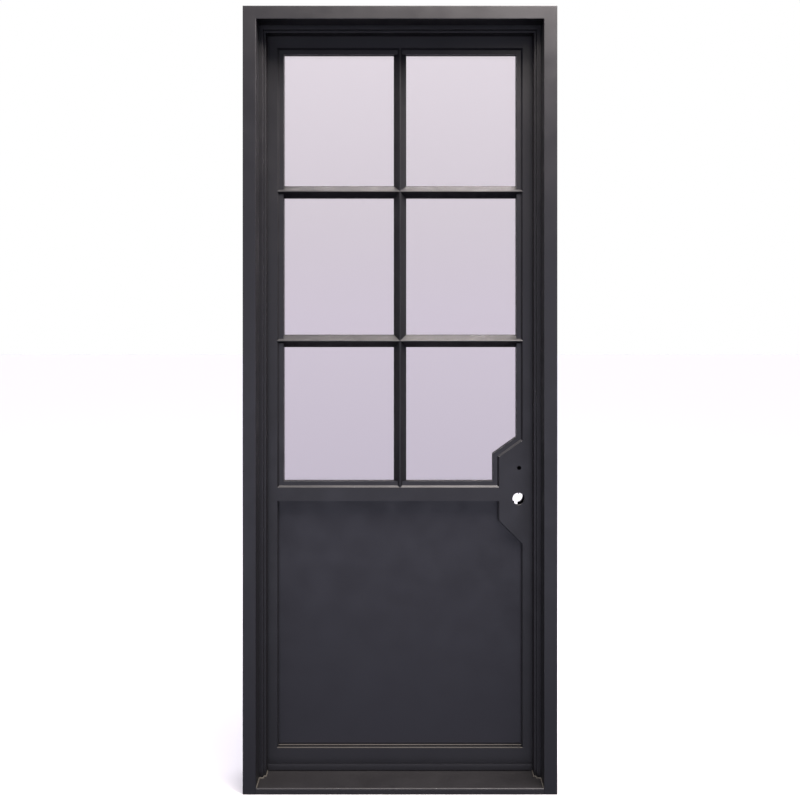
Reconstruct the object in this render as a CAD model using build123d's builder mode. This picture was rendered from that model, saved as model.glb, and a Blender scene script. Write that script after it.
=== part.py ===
from build123d import *
import os

# A glazed steel entrance door in its frame, leaf closed. Sizes in millimetres.
# X runs across the doorway, Y from the outside face towards the room, Z up.
# The origin is the middle of the underside of the sill.

# Whole unit
unit_width = 974.0
unit_height = 2440.0
frame_depth = 152.0

# Frame section, measured from its outer edge inwards and from the front face back
frame_wall = 3.0
face_width = 41.5
reveal_depth = 60.0
first_stop_width = 13.0
first_stop_depth = 11.0
second_stop_width = 7.0
second_stop_depth = 32.0
rebate_inset = 46.5
frame_arris = 2.0

# Sill, a flat closed section between the jambs
sill_height = 18.0
sill_wall = 2.5
sill_front_arris = 5.0
sill_back_arris = 2.0

# Fixing holes through each jamb, hidden behind the closed leaf
fixing_count = 4
fixing_end_distance = 170.0
fixing_radius = 4.0

# Weather seals, hollow rubber strips stuck to the back of the stops
seal_width = 9.0
seal_inset = 49.0
seal_skin = 0.9
seal_side_skin = 1.8
seal_corner = 1.6
seal_clearance = 0.3

# Leaf
leaf_setback = 107.0
leaf_side_gap = 3.25
leaf_head_gap = 3.0
leaf_floor_gap = 12.0
leaf_arris = 2.5
tube_wall = 2.0
stile_width = 42.25
top_rail_height = 48.5
bottom_rail_height = 59.6
lock_rail_height = 43.4
lock_rail_rise = 36.3

# Lock housing, the wider part of the latch stile. It and the lock rail go with the lock height.
housing_reach = 75.8
housing_drop = 69.8
housing_rise = 133.8
housing_lower_rise = 75.8
housing_upper_rise = 54.4

# Bores for a lock set that is supplied apart
lock_backset = 56.0
lock_height = 891.4
lock_bore_radius = 19.0
lock_bore_chamfer = 1.0
key_tooth_width = 3.4
key_tooth_height = 2.8
key_notch_width = 10.6
key_notch_depth = 7.5
key_notch_offset = 2.7
turn_backset = 54.0
turn_rise = 99.4
turn_hole_radius = 6.75
latch_bore_radius = 12.7

# Glazing bars, solid bevelled tees
bar_width = 36.5
bar_nose = 2.0
bar_nose_round = 1.4
bar_nose_drop = 0.9
bar_edge = 1.5
bar_web = 8.0
upper_bar_drop = 462.0
bar_spacing = 481.2

# Bevelled frame round the glazed opening
glazing_frame_width = 19.0
glazing_bevel_width = 5.7
glazing_bevel_depth = 6.3

# Insulated glass units
glass_setback = 20.0
pane_thickness = 4.0
pane_gap = 10.0
pane_clearance = 2.5
spacer_width = 7.5
spacer_setback = 2.0
bead_width = 14.25
bead_slope = 4.0

# Kick panel, two shallow steel pans with a core
kick_front_setback = 20.0
kick_back_setback = 8.0
kick_sheet = 1.5
kick_rim_width = 3.0
kick_front_rim = 8.0
kick_back_rim = 4.0

# Door sweep under the leaf
sweep_inset = 3.0
sweep_base = 4.0
sweep_fin = 3.0
sweep_fin_count = 3
sweep_clearance = 0.3

# Hinges, three weld-on barrel hinges on the room side
hinge_foot_rise = 270.0
hinge_head_drop = 260.5
knuckle_radius = 9.0
knuckle_length = 62.0
knuckle_cap = 12.0
knuckle_standoff = 1.0
hinge_pin_radius = 5.0
hinge_pin_clearance = 0.1
hinge_pin_end_gap = 1.5
bearing_height = 2.5
weld_pad_width = 14.0
weld_pad_height = 8.0
weld_pad_length = 42.0

# Strike plate let into the latch jamb
strike_width = 28.0
strike_height = 90.0
strike_thickness = 1.6
strike_hole_width = 15.0
strike_hole_height = 28.0
strike_screw_spacing = 68.0
strike_screw_radius = 2.6

# Places worked out from the sizes above
frame_front = -frame_depth / 2
frame_back = frame_depth / 2
first_stop_inset = face_width + first_stop_width
second_stop_inset = first_stop_inset + second_stop_width
second_stop_front = reveal_depth + first_stop_depth
stop_back = second_stop_front + second_stop_depth
rebate_half = unit_width / 2 - rebate_inset
sill_half = unit_width / 2 - face_width

leaf_front = frame_front + leaf_setback
leaf_thickness = frame_back - leaf_front
leaf_middle = (leaf_front + frame_back) / 2
leaf_half = rebate_half - leaf_side_gap
leaf_bottom = sill_height + leaf_floor_gap
leaf_top = unit_height - rebate_inset - leaf_head_gap
opening_half = leaf_half - stile_width
glazing_top = leaf_top - top_rail_height
upper_bar_height = glazing_top - upper_bar_drop
lower_bar_height = upper_bar_height - bar_spacing
lock_rail_top = lock_height + lock_rail_rise
kick_top = lock_rail_top - lock_rail_height
kick_bottom = leaf_bottom + bottom_rail_height
housing_edge = opening_half - housing_reach
housing_low = lock_height - housing_drop
housing_high = lock_height + housing_rise

unit_back = glass_setback + 2 * pane_thickness + pane_gap
bead_depth = leaf_thickness - unit_back
lock_x = leaf_half - lock_backset
turn_x = leaf_half - turn_backset
turn_height = lock_height + turn_rise

hinge_x = -(leaf_half + rebate_half) / 2
hinge_y = frame_back + knuckle_standoff + knuckle_radius
hinge_low = leaf_bottom + hinge_foot_rise
hinge_high = leaf_top - hinge_head_drop
hinge_heights = {"low": hinge_low, "middle": (hinge_low + hinge_high) / 2, "high": hinge_high}

os.makedirs("parts", exist_ok=True)


def save(part, name):
    """Label a finished piece and write it under its own name."""
    part.label = name
    export_step(part, f"parts/{name}.step")


def edge_plane(side):
    """Plan section plane at an outer edge of the frame: local x points inwards, local y back."""
    return Plane(origin=(side * unit_width / 2, frame_front, 0), x_dir=(-side, 0, 0), z_dir=(0, 0, -side))


def leaf_plane(depth):
    """Upright plane facing outside, at a depth behind the front face of the leaf."""
    return Plane(origin=(0, leaf_front + depth, 0), x_dir=(1, 0, 0), z_dir=(0, -1, 0))


def mitre_plane(side):
    """The 45 degree plane of a top corner of the frame, its normal pointing into the head."""
    return Plane(origin=(side * unit_width / 2, 0, unit_height), z_dir=(-side, 0, 1))


# Frame

frame_points = [
    (0, 0),
    (face_width, 0),
    (face_width, reveal_depth),
    (first_stop_inset, reveal_depth),
    (first_stop_inset, second_stop_front),
    (second_stop_inset, second_stop_front),
    (second_stop_inset, stop_back),
    (rebate_inset, stop_back),
    (rebate_inset, frame_depth),
    (0, frame_depth),
]
frame_concave = [
    (face_width, reveal_depth),
    (first_stop_inset, second_stop_front),
    (rebate_inset, stop_back),
]


def frame_section(plane):
    """Folded hollow section shared by the jambs and the head, with its two stepped stops."""
    with BuildSketch(plane) as section:
        Polygon(*frame_points, align=None)
        convex = [point for point in frame_points if point not in frame_concave]
        corners = [section.vertices().sort_by_distance((u, v, 0))[0] for u, v in convex]
        fillet(corners, radius=frame_arris)
        with BuildSketch(mode=Mode.PRIVATE) as hollow:
            Polygon(*frame_points, align=None)
            offset(amount=-frame_wall, kind=Kind.INTERSECTION)
        add(hollow.sketch, mode=Mode.SUBTRACT)
    return section.sketch


def cut_jamb_foot_and_fixings(side):
    """Let the sill in under the stops, and drill the fixing holes behind the leaf."""
    notch_width = second_stop_inset - face_width
    with Locations((side * (sill_half - notch_width / 2), 0, 0)):
        Box(
            notch_width,
            frame_depth,
            sill_height,
            align=(Align.CENTER, Align.CENTER, Align.MIN),
            mode=Mode.SUBTRACT,
        )
    fixing_y = frame_front + (stop_back + frame_depth) / 2
    drill_length = 2 * rebate_inset + frame_wall
    fixing_spacing = (unit_height - 2 * fixing_end_distance) / (fixing_count - 1)
    for row in range(fixing_count):
        with Locations((side * unit_width / 2, fixing_y, fixing_end_distance + row * fixing_spacing)):
            Cylinder(fixing_radius, drill_length, rotation=(0, 90, 0), mode=Mode.SUBTRACT)


with BuildPart() as hinge_jamb:
    extrude(frame_section(edge_plane(-1)), amount=unit_height)
    split(bisect_by=mitre_plane(-1), keep=Keep.BOTTOM)
    cut_jamb_foot_and_fixings(-1)
save(hinge_jamb.part, "hinge_jamb")

with BuildPart() as latch_jamb:
    extrude(frame_section(edge_plane(1)), amount=-unit_height)
    split(bisect_by=mitre_plane(1), keep=Keep.BOTTOM)
    cut_jamb_foot_and_fixings(1)
    # a shallow recess for the strike plate, and the hole that the latch bolt enters
    with Locations((rebate_half, leaf_middle, lock_height)):
        Box(2 * strike_thickness, strike_width, strike_height, mode=Mode.SUBTRACT)
        Box(2 * frame_wall, strike_hole_width, strike_hole_height, mode=Mode.SUBTRACT)
save(latch_jamb.part, "latch_jamb")

with BuildPart() as head:
    head_plane = Plane(
        origin=(-unit_width / 2, frame_front, unit_height), x_dir=(0, 0, -1), z_dir=(1, 0, 0)
    )
    extrude(frame_section(head_plane), amount=unit_width)
    split(bisect_by=mitre_plane(-1), keep=Keep.TOP)
    split(bisect_by=mitre_plane(1), keep=Keep.TOP)
save(head.part, "head")

with BuildPart() as sill:
    with BuildSketch(Plane.YZ.offset(-sill_half)) as sill_section:
        with Locations((0, sill_height / 2)):
            Rectangle(frame_depth, sill_height)
        front_arris = sill_section.vertices().sort_by_distance((frame_front, sill_height, 0))[0]
        fillet(front_arris, radius=sill_front_arris)
        back_arris = sill_section.vertices().sort_by_distance((frame_back, sill_height, 0))[0]
        fillet(back_arris, radius=sill_back_arris)
        with Locations((0, sill_height / 2)):
            Rectangle(
                frame_depth - 2 * sill_front_arris, sill_height - 2 * sill_wall, mode=Mode.SUBTRACT
            )
    extrude(amount=2 * sill_half)
save(sill.part, "sill")

with BuildPart() as strike_plate:
    strike_plane = Plane(origin=(rebate_half, leaf_middle, lock_height), x_dir=(0, 1, 0), z_dir=(1, 0, 0))
    with BuildSketch(strike_plane) as strike_outline:
        Rectangle(strike_width, strike_height)
        Rectangle(strike_hole_width, strike_hole_height, mode=Mode.SUBTRACT)
        with GridLocations(0, strike_screw_spacing, 1, 2):
            Circle(strike_screw_radius, mode=Mode.SUBTRACT)
    extrude(amount=strike_thickness)
save(strike_plate.part, "strike_plate")

# Weather seals

seal_depth = leaf_setback - stop_back - seal_clearance


def seal_section(plane):
    """Hollow rubber strip with rounded outer corners, lying on the back of a stop."""
    with BuildSketch(plane) as section:
        with Locations((seal_inset + seal_width / 2, stop_back + seal_depth / 2)):
            Rectangle(seal_width, seal_depth)
        fillet(section.vertices().group_by(Axis.Y)[-1], radius=seal_corner)
        with Locations((seal_inset + seal_width / 2, stop_back + seal_depth / 2)):
            Rectangle(seal_width - 2 * seal_side_skin, seal_depth - 2 * seal_skin, mode=Mode.SUBTRACT)
    return section.sketch


seal_top = unit_height - seal_inset - seal_width

for seal_side, seal_name in ((-1, "seal_hinge_side"), (1, "seal_latch_side")):
    with BuildPart() as side_seal:
        upward = -seal_side
        extrude(
            seal_section(edge_plane(seal_side).offset(upward * sill_height)),
            amount=upward * (seal_top - sill_height),
        )
    save(side_seal.part, seal_name)

with BuildPart() as seal_head:
    seal_head_plane = Plane(
        origin=(-rebate_half, frame_front, unit_height), x_dir=(0, 0, -1), z_dir=(1, 0, 0)
    )
    extrude(seal_section(seal_head_plane), amount=2 * rebate_half)
save(seal_head.part, "seal_head")

# Leaf tubes


def leaf_outline(points, depth, inset=0.0):
    """A flat outline on the leaf, in X and Z, drawn at a depth and drawn in by an inset."""
    with BuildSketch(leaf_plane(depth)) as outline:
        Polygon(*points, align=None)
        if inset > 0:
            offset(amount=-inset, kind=Kind.INTERSECTION)
    return outline.sketch


def rectangle_points(left, bottom, right, top):
    """The corners of an upright rectangle."""
    return [(left, bottom), (right, bottom), (right, top), (left, top)]


def hollow_out(points):
    """Clear the inside of a leaf tube, leaving its walls and closed ends."""
    inside = leaf_thickness - 2 * tube_wall
    extrude(leaf_outline(points, tube_wall, tube_wall), amount=-inside, mode=Mode.SUBTRACT)


def lower_front_edge(tube):
    """The edge along the foot of a tube on its outside face."""
    return tube.edges().filter_by(Axis.X).group_by(Axis.Z)[0].sort_by(Axis.Y)[0]


hinge_stile_points = rectangle_points(-leaf_half, leaf_bottom, -opening_half, leaf_top)

with BuildPart() as hinge_stile:
    extrude(leaf_outline(hinge_stile_points, 0), amount=-leaf_thickness)
    hinge_edges = hinge_stile.edges().filter_by(Axis.Z).group_by(Axis.X)[0]
    fillet(hinge_edges + [lower_front_edge(hinge_stile)], radius=leaf_arris)
    hollow_out(hinge_stile_points)
save(hinge_stile.part, "hinge_stile")

latch_stile_points = [
    (leaf_half, leaf_bottom),
    (leaf_half, leaf_top),
    (opening_half, leaf_top),
    (opening_half, housing_high + housing_upper_rise),
    (housing_edge, housing_high),
    (housing_edge, housing_low),
    (opening_half, housing_low - housing_lower_rise),
    (opening_half, leaf_bottom),
]

with BuildPart() as latch_stile:
    extrude(leaf_outline(latch_stile_points, 0), amount=-leaf_thickness)
    latch_edges = latch_stile.edges().filter_by(Axis.Z).group_by(Axis.X)[-1]
    fillet(latch_edges + [lower_front_edge(latch_stile)], radius=leaf_arris)
    hollow_out(latch_stile_points)
    # the cross bore goes right through; a key tooth stands in its front wall
    with BuildSketch(leaf_plane(leaf_thickness / 2)) as front_bore:
        with Locations((lock_x, lock_height)):
            Circle(lock_bore_radius)
    extrude(amount=leaf_thickness / 2, mode=Mode.SUBTRACT)
    front_edges = latch_stile.edges().filter_by(GeomType.CIRCLE).group_by(Axis.Y)[0]
    chamfer(front_edges, length=lock_bore_chamfer)
    tooth_middle = lock_height + lock_bore_radius + lock_bore_chamfer - key_tooth_height / 2
    with Locations((lock_x, leaf_front + tube_wall / 2, tooth_middle)):
        Box(key_tooth_width, tube_wall, key_tooth_height + 2 * lock_bore_chamfer)
    # the back wall has a keyway at the foot of the bore
    with BuildSketch(leaf_plane(leaf_thickness)) as back_bore:
        with Locations((lock_x, lock_height)):
            Circle(lock_bore_radius)
            with Locations((-key_notch_offset, 0)):
                Rectangle(
                    key_notch_width,
                    lock_bore_radius + key_notch_depth,
                    align=(Align.CENTER, Align.MAX),
                )
    extrude(amount=leaf_thickness / 2, mode=Mode.SUBTRACT)
    # the hole for the upper turn opens the front wall alone
    with BuildSketch(leaf_plane(tube_wall)) as turn_hole:
        with Locations((turn_x, turn_height)):
            Circle(turn_hole_radius)
    extrude(amount=tube_wall, mode=Mode.SUBTRACT)
    # the latch bore opens the edge of the leaf
    with Locations((leaf_half, leaf_middle, lock_height)):
        Cylinder(latch_bore_radius, 2 * tube_wall, rotation=(0, 90, 0), mode=Mode.SUBTRACT)
save(latch_stile.part, "latch_stile")

top_rail_points = rectangle_points(-opening_half, glazing_top, opening_half, leaf_top)

with BuildPart() as top_rail:
    extrude(leaf_outline(top_rail_points, 0), amount=-leaf_thickness)
    hollow_out(top_rail_points)
save(top_rail.part, "top_rail")

lock_rail_points = rectangle_points(-opening_half, kick_top, housing_edge, lock_rail_top)

with BuildPart() as lock_rail:
    extrude(leaf_outline(lock_rail_points, 0), amount=-leaf_thickness)
    hollow_out(lock_rail_points)
save(lock_rail.part, "lock_rail")

bottom_rail_points = rectangle_points(-opening_half, leaf_bottom, opening_half, kick_bottom)

with BuildPart() as bottom_rail:
    extrude(leaf_outline(bottom_rail_points, 0), amount=-leaf_thickness)
    fillet(lower_front_edge(bottom_rail), radius=leaf_arris)
    hollow_out(bottom_rail_points)
save(bottom_rail.part, "bottom_rail")

# Frame round the glazed opening: a bevel down from the leaf face, a flat ledge, then the glass

glazing_points = [
    (-opening_half, lock_rail_top),
    (housing_edge, lock_rail_top),
    (housing_edge, housing_high),
    (opening_half, housing_high + housing_upper_rise),
    (opening_half, glazing_top),
    (-opening_half, glazing_top),
]

with BuildPart() as glazing_frame:
    extrude(leaf_outline(glazing_points, 0), amount=-glass_setback)
    extrude(
        leaf_outline(glazing_points, 0, glazing_frame_width), amount=-glass_setback, mode=Mode.SUBTRACT
    )
    bevel_foot = leaf_outline(glazing_points, glazing_bevel_depth, glazing_bevel_width)
    loft([leaf_outline(glazing_points, 0), bevel_foot], ruled=True, mode=Mode.SUBTRACT)
save(glazing_frame.part, "glazing_frame")

# Glazing bars

bar_half_section = [
    (bar_nose / 2, 0),
    (bar_nose / 2 + bar_nose_round, bar_nose_drop),
    (bar_width / 2, glass_setback - bar_edge),
    (bar_width / 2, glass_setback),
    (bar_web / 2, glass_setback),
    (bar_web / 2, leaf_thickness),
]
bar_section = bar_half_section + [(-u, v) for u, v in reversed(bar_half_section)]


def glazing_bar(start, end, across):
    """A bevelled tee bar between two points on the leaf front; across lies along its width."""
    run = Vector(*end) - Vector(*start)
    bar_plane = Plane(origin=start, x_dir=across, z_dir=run)
    with BuildSketch(bar_plane) as section:
        Polygon(*bar_section, align=None)
    return extrude(section.sketch, amount=run.length, mode=Mode.PRIVATE)


with BuildPart() as bar_vertical:
    add(glazing_bar((0, leaf_front, lock_rail_top), (0, leaf_front, glazing_top), (1, 0, 0)))
    add(glazing_frame.part, mode=Mode.SUBTRACT)
save(bar_vertical.part, "bar_vertical")

bar_levels = {"upper": upper_bar_height, "lower": lower_bar_height}

for level_name, level in bar_levels.items():
    for side_name, side in (("left", -1), ("right", 1)):
        with BuildPart() as cross_bar:
            add(
                glazing_bar(
                    (min(0, side * opening_half), leaf_front, level),
                    (max(0, side * opening_half), leaf_front, level),
                    (0, 0, -1),
                )
            )
            add(glazing_frame.part, mode=Mode.SUBTRACT)
            add(bar_vertical.part, mode=Mode.SUBTRACT)
        save(cross_bar.part, f"bar_{level_name}_{side_name}")

# Insulated glass units and the beads that hold them from the room side

row_spans = {
    "top": (upper_bar_height + bar_web / 2, glazing_top),
    "middle": (lower_bar_height + bar_web / 2, upper_bar_height - bar_web / 2),
    "bottom": (lock_rail_top, lower_bar_height - bar_web / 2),
}
column_spans = {"left": (-opening_half, -bar_web / 2), "right": (bar_web / 2, opening_half)}


def light_points(row, column):
    """Outline of the pocket that one light fills; the lowest right one goes round the housing."""
    low, high = row_spans[row]
    left, right = column_spans[column]
    if (row, column) != ("bottom", "right"):
        return rectangle_points(left, low, right, high)
    return [
        (left, low),
        (housing_edge, low),
        (housing_edge, housing_high),
        (right, housing_high + housing_upper_rise),
        (right, high),
        (left, high),
    ]


for row in row_spans:
    for column in column_spans:
        pocket = light_points(row, column)
        light = f"{row}_{column}"

        with BuildPart() as outer_glass:
            extrude(leaf_outline(pocket, glass_setback, pane_clearance), amount=-pane_thickness)
        save(outer_glass.part, f"outer_glass_{light}")

        with BuildPart() as inner_glass:
            extrude(
                leaf_outline(pocket, glass_setback + pane_thickness + pane_gap, pane_clearance),
                amount=-pane_thickness,
            )
        save(inner_glass.part, f"inner_glass_{light}")

        spacer_outside = pane_clearance + spacer_setback
        spacer_depth = glass_setback + pane_thickness
        with BuildPart() as spacer:
            extrude(leaf_outline(pocket, spacer_depth, spacer_outside), amount=-pane_gap)
            extrude(
                leaf_outline(pocket, spacer_depth, spacer_outside + spacer_width),
                amount=-pane_gap,
                mode=Mode.SUBTRACT,
            )
        save(spacer.part, f"spacer_{light}")

        with BuildPart() as bead:
            extrude(leaf_outline(pocket, unit_back), amount=-bead_depth)
            loft(
                [
                    leaf_outline(pocket, unit_back, bead_width),
                    leaf_outline(pocket, leaf_thickness, bead_width - bead_slope),
                ],
                ruled=True,
                mode=Mode.SUBTRACT,
            )
        save(bead.part, f"bead_{light}")

# Kick panel: two pans set in the lower opening, with an insulating core between them

kick_points = [
    (-opening_half, kick_bottom),
    (opening_half, kick_bottom),
    (opening_half, housing_low - housing_lower_rise),
    (housing_edge, housing_low),
    (housing_edge, kick_top),
    (-opening_half, kick_top),
]
kick_back_outer = leaf_thickness - kick_back_setback

with BuildPart() as kick_panel_front:
    extrude(
        leaf_outline(kick_points, kick_front_setback - kick_front_rim),
        amount=-(kick_front_rim + kick_sheet),
    )
    extrude(
        leaf_outline(kick_points, kick_front_setback - kick_front_rim, kick_rim_width),
        amount=-kick_front_rim,
        mode=Mode.SUBTRACT,
    )
save(kick_panel_front.part, "kick_panel_front")

with BuildPart() as kick_panel_back:
    extrude(
        leaf_outline(kick_points, kick_back_outer - kick_sheet), amount=-(kick_back_rim + kick_sheet)
    )
    extrude(
        leaf_outline(kick_points, kick_back_outer, kick_rim_width),
        amount=-kick_back_rim,
        mode=Mode.SUBTRACT,
    )
save(kick_panel_back.part, "kick_panel_back")

core_front = kick_front_setback + kick_sheet
core_back = kick_back_outer - kick_sheet

with BuildPart() as kick_panel_core:
    extrude(leaf_outline(kick_points, core_front), amount=-(core_back - core_front))
save(kick_panel_core.part, "kick_panel_core")

# Door sweep: a rubber strip with fins that close the gap above the sill

sweep_width = leaf_thickness - 2 * sweep_inset
sweep_height = leaf_floor_gap - sweep_clearance

with BuildPart() as door_sweep:
    with BuildSketch(Plane.YZ.offset(-(leaf_half - sweep_inset))) as sweep_section:
        with Locations((leaf_middle, leaf_bottom - sweep_base / 2)):
            Rectangle(sweep_width, sweep_base)
        fin_pitch = (sweep_width - sweep_fin) / (sweep_fin_count - 1)
        with Locations((leaf_middle, leaf_bottom - sweep_height / 2)):
            with GridLocations(fin_pitch, 0, sweep_fin_count, 1):
                Rectangle(sweep_fin, sweep_height)
    extrude(amount=2 * (leaf_half - sweep_inset))
save(door_sweep.part, "door_sweep")

# Hinges: the lower knuckle and its pin belong to the frame, the upper knuckle to the leaf

bearing_half = bearing_height / 2
pin_hole_radius = hinge_pin_radius + hinge_pin_clearance
pin_reach = knuckle_length - knuckle_cap


def knuckle(turn, middle_height):
    """A knuckle, closed at its outer end, with its weld pad. It points up, or down when turned over."""
    knuckle_middle = bearing_half + knuckle_length / 2
    pad_middle = (leaf_side_gap + weld_pad_width) / 2
    with BuildPart() as made:
        with Locations((0, 0, knuckle_middle)):
            Cylinder(knuckle_radius, knuckle_length)
        with Locations((pad_middle, frame_back - hinge_y, knuckle_middle)):
            Box(
                weld_pad_width,
                weld_pad_height,
                weld_pad_length,
                align=(Align.CENTER, Align.MIN, Align.CENTER),
            )
        Cylinder(pin_hole_radius, 2 * (pin_reach + bearing_half), mode=Mode.SUBTRACT)
    return Location((hinge_x, hinge_y, middle_height), (0, turn, 0)) * made.part


for hinge_name, hinge_height in hinge_heights.items():
    with BuildPart() as frame_knuckle:
        add(knuckle(180, hinge_height))
    save(frame_knuckle.part, f"hinge_{hinge_name}_frame_knuckle")

    with BuildPart() as leaf_knuckle:
        add(knuckle(0, hinge_height))
    save(leaf_knuckle.part, f"hinge_{hinge_name}_leaf_knuckle")

    with BuildPart() as hinge_pin:
        with Locations((hinge_x, hinge_y, hinge_height)):
            Cylinder(hinge_pin_radius, 2 * (pin_reach + bearing_half - hinge_pin_end_gap))
    save(hinge_pin.part, f"hinge_{hinge_name}_pin")

    with BuildPart() as bearing:
        with Locations((hinge_x, hinge_y, hinge_height)):
            Cylinder(knuckle_radius, bearing_height)
            Cylinder(pin_hole_radius, bearing_height, mode=Mode.SUBTRACT)
    save(bearing.part, f"hinge_{hinge_name}_bearing")
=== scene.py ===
import math

import bmesh
import bpy
from mathutils import Matrix, Vector


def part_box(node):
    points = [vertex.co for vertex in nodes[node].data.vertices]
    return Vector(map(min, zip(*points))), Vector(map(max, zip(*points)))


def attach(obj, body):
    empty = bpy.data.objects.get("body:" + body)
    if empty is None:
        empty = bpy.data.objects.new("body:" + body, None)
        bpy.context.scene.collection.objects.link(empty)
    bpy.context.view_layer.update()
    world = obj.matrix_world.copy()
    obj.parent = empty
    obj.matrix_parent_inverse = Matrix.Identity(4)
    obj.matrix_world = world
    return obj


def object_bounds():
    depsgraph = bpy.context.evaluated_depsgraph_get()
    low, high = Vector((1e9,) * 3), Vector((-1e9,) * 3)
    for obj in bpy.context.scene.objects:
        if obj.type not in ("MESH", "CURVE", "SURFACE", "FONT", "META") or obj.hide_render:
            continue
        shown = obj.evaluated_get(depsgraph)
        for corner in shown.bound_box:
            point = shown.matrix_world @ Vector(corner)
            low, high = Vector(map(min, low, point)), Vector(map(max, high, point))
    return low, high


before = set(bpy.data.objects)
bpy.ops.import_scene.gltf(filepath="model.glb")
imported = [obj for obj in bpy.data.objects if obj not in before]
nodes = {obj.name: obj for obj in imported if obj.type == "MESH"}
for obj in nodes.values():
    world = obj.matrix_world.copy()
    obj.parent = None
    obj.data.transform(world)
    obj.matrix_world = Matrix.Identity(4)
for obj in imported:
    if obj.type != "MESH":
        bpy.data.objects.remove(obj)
solid_low, solid_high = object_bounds()


def tone(code):
    """An sRGB hex colour as linear red, green, blue and alpha."""
    shares = [int(code[place : place + 2], 16) / 255 for place in (1, 3, 5)]
    linear = [
        share / 12.92 if share <= 0.04045 else ((share + 0.055) / 1.055) ** 2.4 for share in shares
    ]
    return linear + [1.0]


def add(tree, kind, inputs=(), **settings):
    """One node with its settings. Each input is a plain value or another node's output."""
    node = tree.nodes.new(kind)
    for name, value in settings.items():
        setattr(node, name, value)
    for name, value in dict(inputs).items():
        if isinstance(value, bpy.types.NodeSocket):
            tree.links.new(value, node.inputs[name])
        else:
            node.inputs[name].default_value = value
    return node


def blank_finish(name):
    """An empty material with its shader, and the coordinates of the piece it is on."""
    finish = bpy.data.materials.new(name)
    finish.use_nodes = True
    tree = finish.node_tree
    tree.nodes.clear()
    shader = add(tree, "ShaderNodeBsdfPrincipled")
    output = add(tree, "ShaderNodeOutputMaterial", {"Surface": shader.outputs["BSDF"]})
    output.target = "ALL"
    place = add(tree, "ShaderNodeTexCoord").outputs["Object"]
    return finish, tree, shader, place


def colour_between(tree, shader, share, light, dark):
    """The base colour goes from dark to light as the share goes from 0 to 1."""
    colour = add(
        tree, "ShaderNodeMix", {0: share, 6: tone(dark), 7: tone(light)}, data_type="RGBA"
    )
    tree.links.new(colour.outputs[2], shader.inputs["Base Color"])


def gloss_between(tree, shader, share, smooth, rough, limits=(0.0, 1.0)):
    """The roughness goes from smooth to rough as the share crosses its limits."""
    low, high = limits
    gloss = add(
        tree,
        "ShaderNodeMapRange",
        {"Value": share, "From Min": low, "From Max": high, "To Min": smooth, "To Max": rough},
    )
    tree.links.new(gloss.outputs["Result"], shader.inputs["Roughness"])


def relief(tree, shader, height, strength, distance):
    """Raises the surface by a height, up to a distance in metres."""
    bump = add(
        tree, "ShaderNodeBump", {"Height": height, "Strength": strength, "Distance": distance}
    )
    tree.links.new(bump.outputs["Normal"], shader.inputs["Normal"])


# scales of the patterns, in repeats per metre
SWEEP_SCALE = 3.0  # sweeps of the spray gun, about 330 mm wide
CLOUD_SCALE = 14.0  # clouds of gloss, about 70 mm wide
PEEL_SCALE = 700.0  # orange peel, about 1.4 mm from bump to bump
WAVE_SCALE = 5.0  # roller wave of the glass, about 200 mm long


def powder_coat(name, light, dark, smooth, rough):
    """Satin polyester powder coat, sprayed dry and baked.

    It has a fine even orange peel, and its tone drifts a little from sweep to sweep of the gun.
    """
    finish, tree, shader, place = blank_finish(name)
    sweep = add(tree, "ShaderNodeTexNoise", {"Vector": place, "Scale": SWEEP_SCALE, "Detail": 3.0})
    colour_between(tree, shader, sweep.outputs["Fac"], light, dark)
    cloud = add(tree, "ShaderNodeTexNoise", {"Vector": place, "Scale": CLOUD_SCALE, "Detail": 4.0})
    gloss_between(tree, shader, cloud.outputs["Fac"], smooth, rough, (0.3, 0.7))
    peel = add(tree, "ShaderNodeTexNoise", {"Vector": place, "Scale": PEEL_SCALE, "Detail": 2.0})
    relief(tree, shader, peel.outputs["Fac"], 0.12, 0.0004)
    shader.inputs["IOR"].default_value = 1.5
    return finish


# black with a cool cast: the frame is the darkest, the flat panel a little greyer,
# and the sill a little paler, warmer and duller
frame_paint = powder_coat("satin_black_powder_coat_frame", "#242427", "#1e1e21", 0.36, 0.46)
leaf_paint = powder_coat("satin_black_powder_coat_leaf", "#262629", "#202023", 0.36, 0.46)
panel_paint = powder_coat("satin_black_powder_coat_panel", "#29292f", "#242429", 0.38, 0.5)
sill_paint = powder_coat("satin_black_powder_coat_sill", "#2c2b2c", "#242324", 0.4, 0.55)


def insulated_glass():
    """Clear float glass with a low-emissivity coat.

    It is see-through and faintly lavender, with a very slow roller wave in its reflections.
    """
    finish, tree, shader, place = blank_finish("coated_float_glass")
    shader.inputs["Base Color"].default_value = tone("#f4f1f4")
    shader.inputs["Transmission Weight"].default_value = 1.0
    shader.inputs["Roughness"].default_value = 0.0
    shader.inputs["IOR"].default_value = 1.45
    wave = add(tree, "ShaderNodeTexNoise", {"Vector": place, "Scale": WAVE_SCALE, "Detail": 1.0})
    relief(tree, shader, wave.outputs["Fac"], 0.05, 0.002)
    return finish


def plain_finish(name, light, dark, smooth, rough, grain, metal=0.0, stretch=(1.0, 1.0, 1.0)):
    """A finish whose colour, gloss and relief follow one grain, in repeats per metre.

    The grain is drawn out along the axes that stretch makes small.
    """
    finish, tree, shader, place = blank_finish(name)
    laid = add(tree, "ShaderNodeMapping", {"Vector": place, "Scale": stretch})
    along = laid.outputs["Vector"]
    noise = add(tree, "ShaderNodeTexNoise", {"Vector": along, "Scale": grain, "Detail": 4.0})
    colour_between(tree, shader, noise.outputs["Fac"], light, dark)
    gloss_between(tree, shader, noise.outputs["Fac"], smooth, rough)
    relief(tree, shader, noise.outputs["Fac"], 0.1, 0.0003)
    shader.inputs["Metallic"].default_value = metal
    return finish


glass = insulated_glass()
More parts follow.
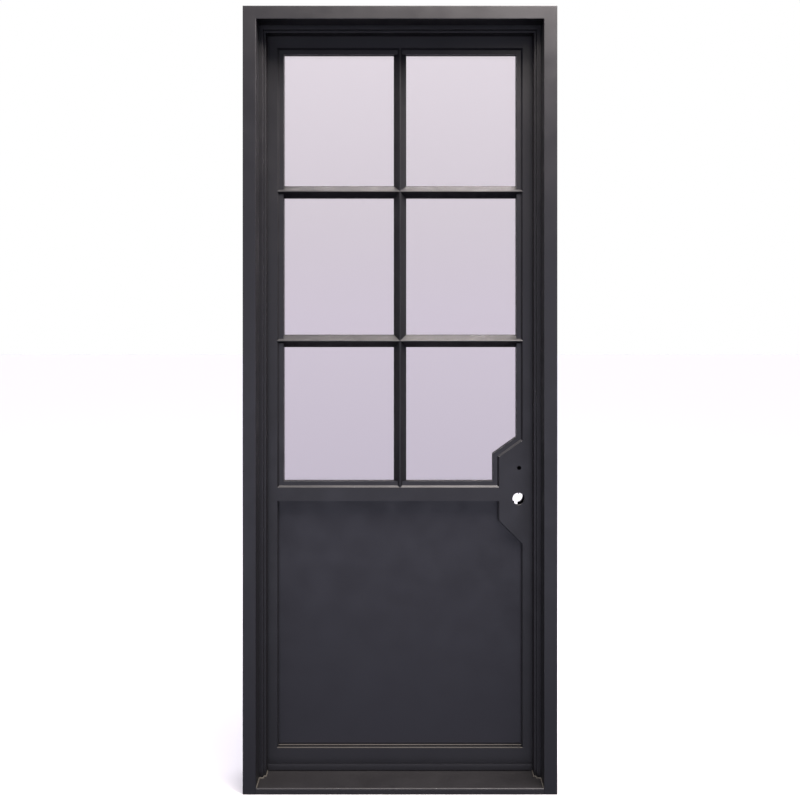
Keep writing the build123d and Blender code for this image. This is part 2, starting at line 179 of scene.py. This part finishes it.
# extruded EPDM: matt, almost black, with dusty patches about 6 mm wide
rubber = plain_finish("extruded_epdm_rubber", "#1b1b1c", "#111112", 0.7, 0.9, 160.0)
# bright drawn steel, with lines along its length, 1.1 mm apart: drawn coarser than real ones
upright = (1.0, 1.0, 0.05)
steel = plain_finish("drawn_steel", "#b9b7b3", "#8d8b88", 0.25, 0.42, 900.0, 1.0, upright)
# turned brass with a little tarnish, its rings 2 mm apart: drawn coarser than real ones
ringed = (0.1, 0.1, 1.0)
brass = plain_finish("turned_brass", "#c9a765", "#a07f45", 0.22, 0.4, 500.0, 1.0, ringed)
# black anodised aluminium, matt, its grain of 2.5 mm drawn coarser than a real one
anodised = "black_anodised_aluminium"
spacer_metal = plain_finish(anodised, "#3a393b", "#2c2b2d", 0.4, 0.55, 400.0, 1.0)
# pressed wood-fibre board, brown, with flecks of fibre about 4.5 mm long
board = plain_finish("wood_fibre_board", "#8f7758", "#6d5942", 0.8, 0.95, 220.0)

# the first name that a node's name starts with gives its finish
FINISHES = (
    ("outer_glass", glass),
    ("inner_glass", glass),
    ("spacer", spacer_metal),
    ("seal", rubber),
    ("door_sweep", rubber),
    ("strike_plate", steel),
    ("kick_panel_core", board),
    ("kick_panel", panel_paint),
    ("sill", sill_paint),
    ("hinge_jamb", frame_paint),
    ("latch_jamb", frame_paint),
    ("head", frame_paint),
)

for name, piece in nodes.items():
    finish = next((made for start, made in FINISHES if name.startswith(start)), leaf_paint)
    if name.endswith("_pin"):
        finish = steel
    if name.endswith("_bearing"):
        finish = brass
    piece.data.materials.clear()
    piece.data.materials.append(finish)

# Pieces too small for the solid model, in metres, placed from the boxes of the nodes they are on

# silicone tooled into a corner: smooth, nearly black, a low soft sheen that shifts every 8 mm
silicone = plain_finish("tooled_black_silicone", "#1c1c1d", "#141415", 0.35, 0.5, 120.0)
# painter's caulk: dark stone grey, paler than the black paint as a painted highlight on the ledges,
# matt, with lumps about 4 mm wide where a finger smoothed it
highlight_grey_caulk = plain_finish("dark_grey_caulk_painted_highlight", "#5a564e", "#46433d", 0.45, 0.65, 260.0)
# the same caulk, paler, in thin lines at the foot of the jambs: the pale tone is a painted
# highlight where the stops meet the sill
highlight_pale_caulk = plain_finish("pale_grey_caulk_painted_highlight", "#726e65", "#5c5850", 0.45, 0.65, 260.0)
# blackened steel, faintly lustrous, with specks of brighter wear about 1 mm wide
black_steel = plain_finish("blackened_steel", "#3b3a3c", "#232224", 0.3, 0.5, 900.0, 1.0)

latch_low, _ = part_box("latch_stile")
opening_low, opening_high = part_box("glazing_frame")
bar_low, bar_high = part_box("bar_vertical")
upper_low, upper_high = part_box("bar_upper_left")
lower_low, lower_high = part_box("bar_lower_left")
glass_low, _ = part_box("outer_glass_top_left")
rail_low, rail_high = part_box("bottom_rail")
pan_low, pan_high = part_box("kick_panel_front")
stile_low, stile_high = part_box("hinge_stile")
_, sill_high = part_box("sill")

# the glazing frame and the lock housing, as in the solid model
glazing_frame_width = 0.019
housing_top = 1.0252
housing_slope_rise = 0.0544
housing_foot = 0.8216
housing_foot_rise = 0.0758


def finished(mesh, name, finish, body):
    """Closes a bmesh into a piece that rides on a body and takes a finish."""
    bmesh.ops.recalc_face_normals(mesh, faces=mesh.faces)
    data = bpy.data.meshes.new(name)
    mesh.to_mesh(data)
    mesh.free()
    data.materials.append(finish)
    made = bpy.data.objects.new(name, data)
    bpy.context.scene.collection.objects.link(made)
    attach(made, body)
    return made


def mitred(corners, inset, closed=True):
    """Flat corners moved to their left by an inset, with true mitres."""
    moved = []
    for index, corner in enumerate(corners):
        runs = []
        if closed or index > 0:
            runs.append((corner - corners[index - 1]).normalized())
        if closed or index < len(corners) - 1:
            runs.append((corners[(index + 1) % len(corners)] - corner).normalized())
        lefts = [Vector((-run.y, run.x)) for run in runs]
        mitre = sum(lefts, Vector((0.0, 0.0)))
        moved.append(corner + mitre * inset / mitre.dot(lefts[0]))
    return moved


def run_strip(mesh, corners, section, place, closed=True):
    """Runs a section of (leftwards, outwards) points along flat corners.

    The place function puts each flat corner and its outward measure in space.
    """
    lines = [mitred(corners, leftwards, closed) for leftwards, _ in section]
    rings = []
    for index in range(len(corners)):
        loop = [mesh.verts.new(place(line[index], out)) for line, (_, out) in zip(lines, section)]
        rings.append([mesh.edges.new((loop[turn - 1], loop[turn])) for turn in range(len(loop))])
    following = rings[1:] + rings[:1] if closed else rings[1:]
    for near, far in zip(rings, following):
        bmesh.ops.bridge_loops(mesh, edges=near + far)
    if not closed:
        bmesh.ops.edgeloop_fill(mesh, edges=rings[0] + rings[-1])


def fillet_section(leftwards, outwards, steps):
    """A quarter-round fillet that fills the corner of its two legs."""
    turns = [step * math.pi / 2 / steps for step in range(steps + 1)]
    curve = [(leftwards * math.cos(turn), outwards * math.sin(turn)) for turn in turns]
    return [(0.0, 0.0)] + curve


def bead_section(radius, steps):
    """A half-round bead that lies on a flat face."""
    turns = [step * math.pi / steps for step in range(steps + 1)]
    return [(radius * math.cos(turn), radius * math.sin(turn)) for turn in turns]


# black silicone between the glass and the metal round each light
sealant_width = 0.002
sealant_height = 0.0014
opening = [
    Vector((opening_low.x, opening_low.z)),
    Vector((latch_low.x, opening_low.z)),
    Vector((latch_low.x, housing_top)),
    Vector((opening_high.x, housing_top + housing_slope_rise)),
    Vector((opening_high.x, opening_high.z)),
    Vector((opening_low.x, opening_high.z)),
]
daylight = mitred(opening, glazing_frame_width)
columns = [(daylight[0].x, bar_low.x), (bar_high.x, daylight[3].x)]
rows = [(upper_high.z, daylight[4].y), (lower_high.z, upper_low.z), (daylight[0].y, lower_low.z)]
lights = [
    [Vector((left, foot)), Vector((right, foot)), Vector((right, top)), Vector((left, top))]
    for foot, top in rows
    for left, right in columns
]
# the last light steps round the lock housing
lights[-1][1:2] = daylight[1:4]

sealant = bmesh.new()
for light in lights:
    run_strip(
        sealant,
        light,
        fillet_section(sealant_width, sealant_height, 2),
        lambda corner, out: (corner.x, glass_low.y - out, corner.y),
    )
finished(sealant, "glazing_sealant", silicone, "leaf")

# caulk where the stepped stops stand on the sill, its pale line a painted highlight;
# each corner is measured in from the side of the frame and back from its front
foot_caulk_leg = 0.0022
stop_steps = [
    (0.0415, 0.003),
    (0.0415, 0.060),
    (0.0545, 0.060),
    (0.0545, 0.071),
    (0.0615, 0.071),
    (0.0615, 0.103),
]
for side_name, side in (("hinge", 1), ("latch", -1)):
    steps = [
        Vector((side * (solid_low[0] + inset), solid_low[1] + depth)) for inset, depth in stop_steps
    ]
    foot = bmesh.new()
    run_strip(
        foot,
        steps,
        fillet_section(-side * foot_caulk_leg, foot_caulk_leg, 3),
        lambda corner, out: (corner.x, corner.y, sill_high.z + out),
        closed=False,
    )
    finished(foot, f"foot_caulk_{side_name}_side", highlight_pale_caulk, "frame")

# beads of caulk along the two up-facing ledges at the foot of the kick panel; their grey is a
# painted highlight along the ledges
pan_rim = 0.003
bead_radius = 0.0022
foot_beads = bmesh.new()
for ledge_y, ledge_z, ends in (
    (rail_low.y + bead_radius, rail_high.z, 0.0),
    (pan_low.y + bead_radius, pan_low.z + pan_rim, pan_rim),
):
    run_strip(
        foot_beads,
        [Vector((rail_low.x + ends, ledge_y)), Vector((rail_high.x - ends, ledge_y))],
        bead_section(bead_radius, 8),
        lambda corner, out: (corner.x, corner.y, ledge_z + out),
        closed=False,
    )
finished(foot_beads, "panel_foot_beads", highlight_grey_caulk, "leaf")

# a near-black fillet in the black silicone finish where the kick panel meets the steel round it: a
# painted shadow line along the edge of its recess
panel_shadow_line_leg = 0.0025
panel_shadow_line_foot = rail_high.z + 0.004
panel_sides = bmesh.new()
run_strip(
    panel_sides,
    [
        Vector((opening_high.x, panel_shadow_line_foot)),
        Vector((opening_high.x, housing_foot - housing_foot_rise)),
        Vector((latch_low.x, housing_foot)),
        Vector((latch_low.x, pan_high.z)),
        Vector((stile_high.x, pan_high.z)),
        Vector((stile_high.x, panel_shadow_line_foot)),
    ],
    fillet_section(panel_shadow_line_leg, panel_shadow_line_leg, 3),
    lambda corner, out: (corner.x, pan_low.y - out, corner.y),
    closed=False,
)
finished(panel_sides, "panel_side_painted_shadow_line", silicone, "leaf")

# the strip that covers the front of the door sweep: its steep sloping top catches the light
strip_foot = sill_high.z + 0.0015
strip_inset = 0.062
# points of its section, measured out from the leaf and up from the strip's foot
strip_section = [
    (0.0, 0.0),
    (0.0, 0.0185),
    (0.0006, 0.0183),
    (0.0022, 0.0124),
    (0.0042, 0.0006),
    (0.0036, 0.0),
]
sweep_cover = bmesh.new()
run_strip(
    sweep_cover,
    [
        Vector((solid_low[0] + strip_inset, stile_low.y)),
        Vector((solid_high[0] - strip_inset, stile_low.y)),
    ],
    [(-out, up) for out, up in strip_section],
    lambda corner, up: (corner.x, corner.y, strip_foot + up),
    closed=False,
)
finished(sweep_cover, "sweep_cover", leaf_paint, "leaf")


# a screw head in shares of its radius: the height of its side, then how far each next ring
# goes in and up, for the rounded shoulder, the flat and the floor of the socket
SCREW_SIDE = 0.4
SCREW_RINGS = ((0.25, 0.12), (0.25, 0.0), (0.02, -0.35))


def socket_screw(mesh, spot, facing, radius):
    """A low screw head with a socket, standing on a spot and facing out of it."""
    turn = Vector((0, 0, 1)).rotation_difference(facing).to_matrix().to_4x4()
    seat = Matrix.Translation(spot) @ turn
    rim = bmesh.ops.create_circle(
        mesh, cap_ends=True, segments=12, radius=radius, matrix=seat
    )["verts"]
    raised = bmesh.ops.extrude_face_region(mesh, geom=[rim[0].link_faces[0]])["geom"]
    crown = [item for item in raised if isinstance(item, bmesh.types.BMFace)]
    bmesh.ops.translate(mesh, verts=crown[0].verts, vec=facing * radius * SCREW_SIDE)
    mesh.normal_update()
    for inset, rise in SCREW_RINGS:
        bmesh.ops.inset_region(mesh, faces=crown, thickness=radius * inset)
        bmesh.ops.translate(mesh, verts=crown[0].verts, vec=facing * radius * rise)


# screws hold the glazing beads from the room side, at shares of each bead's height
bead_screw_radius = 0.003
bead_screw_shares = (0.15, 0.5, 0.85)
screw_inset = 0.0055
bead_screws = bmesh.new()
for row in ("top", "middle", "bottom"):
    for column in ("left", "right"):
        bead_low, bead_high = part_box(f"bead_{row}_{column}")
        left, right = bead_low.x + screw_inset, bead_high.x - screw_inset
        foot, top = bead_low.z + screw_inset, bead_high.z - screw_inset
        spots = [((left + right) / 2, foot), ((left + right) / 2, top)]
        for share in bead_screw_shares:
            level = foot + share * (top - foot)
            beside_housing = row == "bottom" and column == "right" and level < housing_top
            spots.append((left, level))
            spots.append((latch_low.x - screw_inset if beside_housing else right, level))
        for x, z in spots:
            spot = Vector((x, bead_high.y, z))
            socket_screw(bead_screws, spot, Vector((0, 1, 0)), bead_screw_radius)
finished(bead_screws, "bead_screws", black_steel, "leaf")

# two screws sunk in the holes of the strike plate
strike_low, strike_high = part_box("strike_plate")
strike_screw_radius = 0.0025
strike_screw_offset = 0.034
strike_middle = (strike_low + strike_high) / 2
strike_screws = bmesh.new()
for offset in (-strike_screw_offset, strike_screw_offset):
    spot = Vector((strike_high.x, strike_middle.y, strike_middle.z + offset))
    socket_screw(strike_screws, spot, Vector((-1, 0, 0)), strike_screw_radius)
finished(strike_screws, "strike_screws", steel, "frame")

# painted fillet welds on the three free sides of each hinge pad
weld_leg = 0.003
weld_pad_half = 0.021
pad_gap_half = 0.0016
pin_low, pin_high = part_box("hinge_low_pin")
hinge_x = (pin_low.x + pin_high.x) / 2
for body, side in (("frame", -1), ("leaf", 1)):
    welds = bmesh.new()
    for level in ("low", "middle", "high"):
        knuckle_low, knuckle_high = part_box(f"hinge_{level}_{body}_knuckle")
        inner = hinge_x + side * pad_gap_half
        outer = knuckle_low.x if side < 0 else knuckle_high.x
        middle = (knuckle_low.z + knuckle_high.z) / 2
        run_strip(
            welds,
            [
                Vector((inner, middle + weld_pad_half)),
                Vector((outer, middle + weld_pad_half)),
                Vector((outer, middle - weld_pad_half)),
                Vector((inner, middle - weld_pad_half)),
            ],
            fillet_section(side * weld_leg, weld_leg, 4),
            lambda corner, out: (corner.x, stile_high.y + out, corner.y),
            closed=False,
        )
    paint = frame_paint if side < 0 else leaf_paint
    finished(welds, f"hinge_welds_{body}", paint, body)

# Stage

bpy.ops.mesh.primitive_plane_add(size=60, location=(0, 0, -0.001))
floor = bpy.context.object
floor.name = "floor"
floor_finish, _, floor_shader, _ = blank_finish("pale_floor")
floor_shader.inputs["Base Color"].default_value = tone("#f7f6f5")
floor_shader.inputs["Roughness"].default_value = 0.9
floor.data.materials.append(floor_finish)
# the floor shows as pale ground only, and throws no light up into the frame
floor.visible_diffuse = False
floor.visible_glossy = False
floor.visible_transmission = False

world = bpy.data.worlds.new("studio")
bpy.context.scene.world = world
world.use_nodes = True
air = world.node_tree
air.nodes.clear()
way = add(air, "ShaderNodeTexCoord").outputs["Generated"]
heading = add(air, "ShaderNodeSeparateXYZ", {"Vector": way})
height = add(
    air, "ShaderNodeMapRange", {"Value": heading.outputs["Z"], "From Min": -1.0, "From Max": 1.0}
)


def ramp(stops, factor):
    """A colour ramp from stops of (sine of the height above the horizon, linear colour)."""
    made = add(air, "ShaderNodeValToRGB", {"Fac": factor})
    scale = made.color_ramp.elements
    while len(scale) < len(stops):
        scale.new(0.5)
    for stop, (sine, colour) in zip(scale, stops):
        stop.position = (sine + 1) / 2
        stop.color = (*colour, 1.0)
    return made.outputs["Color"]


def fade(axis, start, end, at_start, at_end):
    """A strength that changes evenly between two values of one axis of the direction."""
    limits = {"From Min": start, "From Max": end, "To Min": at_start, "To Max": at_end}
    faded = add(air, "ShaderNodeMapRange", {"Value": heading.outputs[axis], **limits})
    return faded.outputs["Result"]


def glow(stops, strength):
    """One part of the studio: colours by height, and a strength."""
    colour = ramp(stops, height.outputs["Result"])
    lit = add(air, "ShaderNodeBackground", {"Color": colour, "Strength": strength})
    return lit.outputs["Background"]


no_light = (0.0, 0.0, 0.0)


# a pale wall fills the view ahead of the door, brightest a little below eye level
wall = glow(
    [
        (-0.45, no_light),
        (-0.2, (0.8, 0.79, 0.96)),
        (0.05, (0.18, 0.178, 0.225)),
        (0.3, no_light),
    ],
    fade("Y", -0.9, -0.2, 2.5, 0.0),
)
# a dim bluish light comes from the left, from everywhere but straight ahead
left_side = fade("X", -0.6, 0.6, 0.12, 0.0)
not_ahead = fade("Y", -0.9, -0.2, 0.0, 1.0)
side_strength = add(air, "ShaderNodeMath", {0: left_side, 1: not_ahead}, operation="MULTIPLY")
side_light = glow([(0.1, (0.716, 0.674, 1.0)), (0.45, no_light)], side_strength.outputs["Value"])
# the ceiling glows evenly, a little more on the left, where the lamps don't reach
ceiling = glow(
    [(0.3, no_light), (0.6, (0.12, 0.115, 0.13)), (0.85, (0.918, 0.887, 1.0))],
    fade("X", -0.6, 0.6, 2.4, 1.8),
)
# a second wall lights the room side of the door
room_wall = glow(
    [(-0.45, no_light), (-0.1, (0.9, 0.89, 0.95)), (0.4, (0.5, 0.49, 0.52)), (0.8, no_light)],
    fade("Y", 0.15, 0.9, 0.0, 1.8),
)
low_light = add(air, "ShaderNodeAddShader", {0: wall, 1: side_light})
high_light = add(air, "ShaderNodeAddShader", {0: ceiling, 1: room_wall})
shine = add(
    air, "ShaderNodeAddShader", {0: low_light.outputs["Shader"], 1: high_light.outputs["Shader"]}
)
# what shows through the glass is a soft lavender grey that falls off towards the ground
behind = ramp(
    [
        (-0.2, (0.62, 0.585, 0.66)),
        (0.0, (0.765, 0.725, 0.8)),
        (0.12, (0.82, 0.79, 0.83)),
        (0.35, (1.0, 0.97, 1.0)),
        (0.6, (4.0, 3.85, 3.7)),
        (1.0, (8.0, 7.7, 7.4)),
    ],
    height.outputs["Result"],
)
through = add(air, "ShaderNodeBackground", {"Color": behind, "Strength": 1.0})
backdrop = add(air, "ShaderNodeBackground", {"Color": tone("#ffffff"), "Strength": 1.0})
rays = add(air, "ShaderNodeLightPath")
past_glass = add(
    air,
    "ShaderNodeMixShader",
    {
        "Fac": rays.outputs["Is Transmission Ray"],
        1: shine.outputs["Shader"],
        2: through.outputs["Background"],
    },
)
seen = add(
    air,
    "ShaderNodeMixShader",
    {
        "Fac": rays.outputs["Is Camera Ray"],
        1: past_glass.outputs["Shader"],
        2: backdrop.outputs["Background"],
    },
)
add(air, "ShaderNodeOutputWorld", {"Surface": seen.outputs["Shader"]})

# three soft boxes hang over the door, the strongest on the right, all aimed at its upper half
lamp_aim = Vector((0.2, 0.0, 1.9))
for name, place, watts, colour in (
    ("soft_box_right", (1.1, -0.7, 3.6), 96.0, (1.0, 0.915, 0.93)),
    ("soft_box_middle", (0.2, -0.8, 3.6), 60.0, (1.0, 0.9, 0.8)),
    ("soft_box_near", (0.6, -0.25, 2.9), 10.0, (1.0, 0.93, 0.85)),
):
    lamp_data = bpy.data.lights.new(name, "AREA")
    lamp_data.shape = "RECTANGLE"
    lamp_data.size = 1.4
    lamp_data.size_y = 1.0
    lamp_data.energy = watts
    lamp_data.color = colour
    lamp = bpy.data.objects.new(name, lamp_data)
    lamp.location = place
    lamp.rotation_euler = (lamp_aim - lamp.location).to_track_quat("-Z", "Y").to_euler()
    bpy.context.scene.collection.objects.link(lamp)

camera_data = bpy.data.cameras.new("camera")
camera_data.sensor_width = 36.0
camera_data.lens = 38.56
camera_data.shift_y = -0.105
camera = bpy.data.objects.new("camera", camera_data)
camera.location = (0.0, -2.726, 1.4795)
camera.rotation_euler = (1.5707963, 0.0, 0.0)
bpy.context.scene.collection.objects.link(camera)
bpy.context.scene.camera = camera
bpy.context.scene.view_settings.view_transform = "Standard"
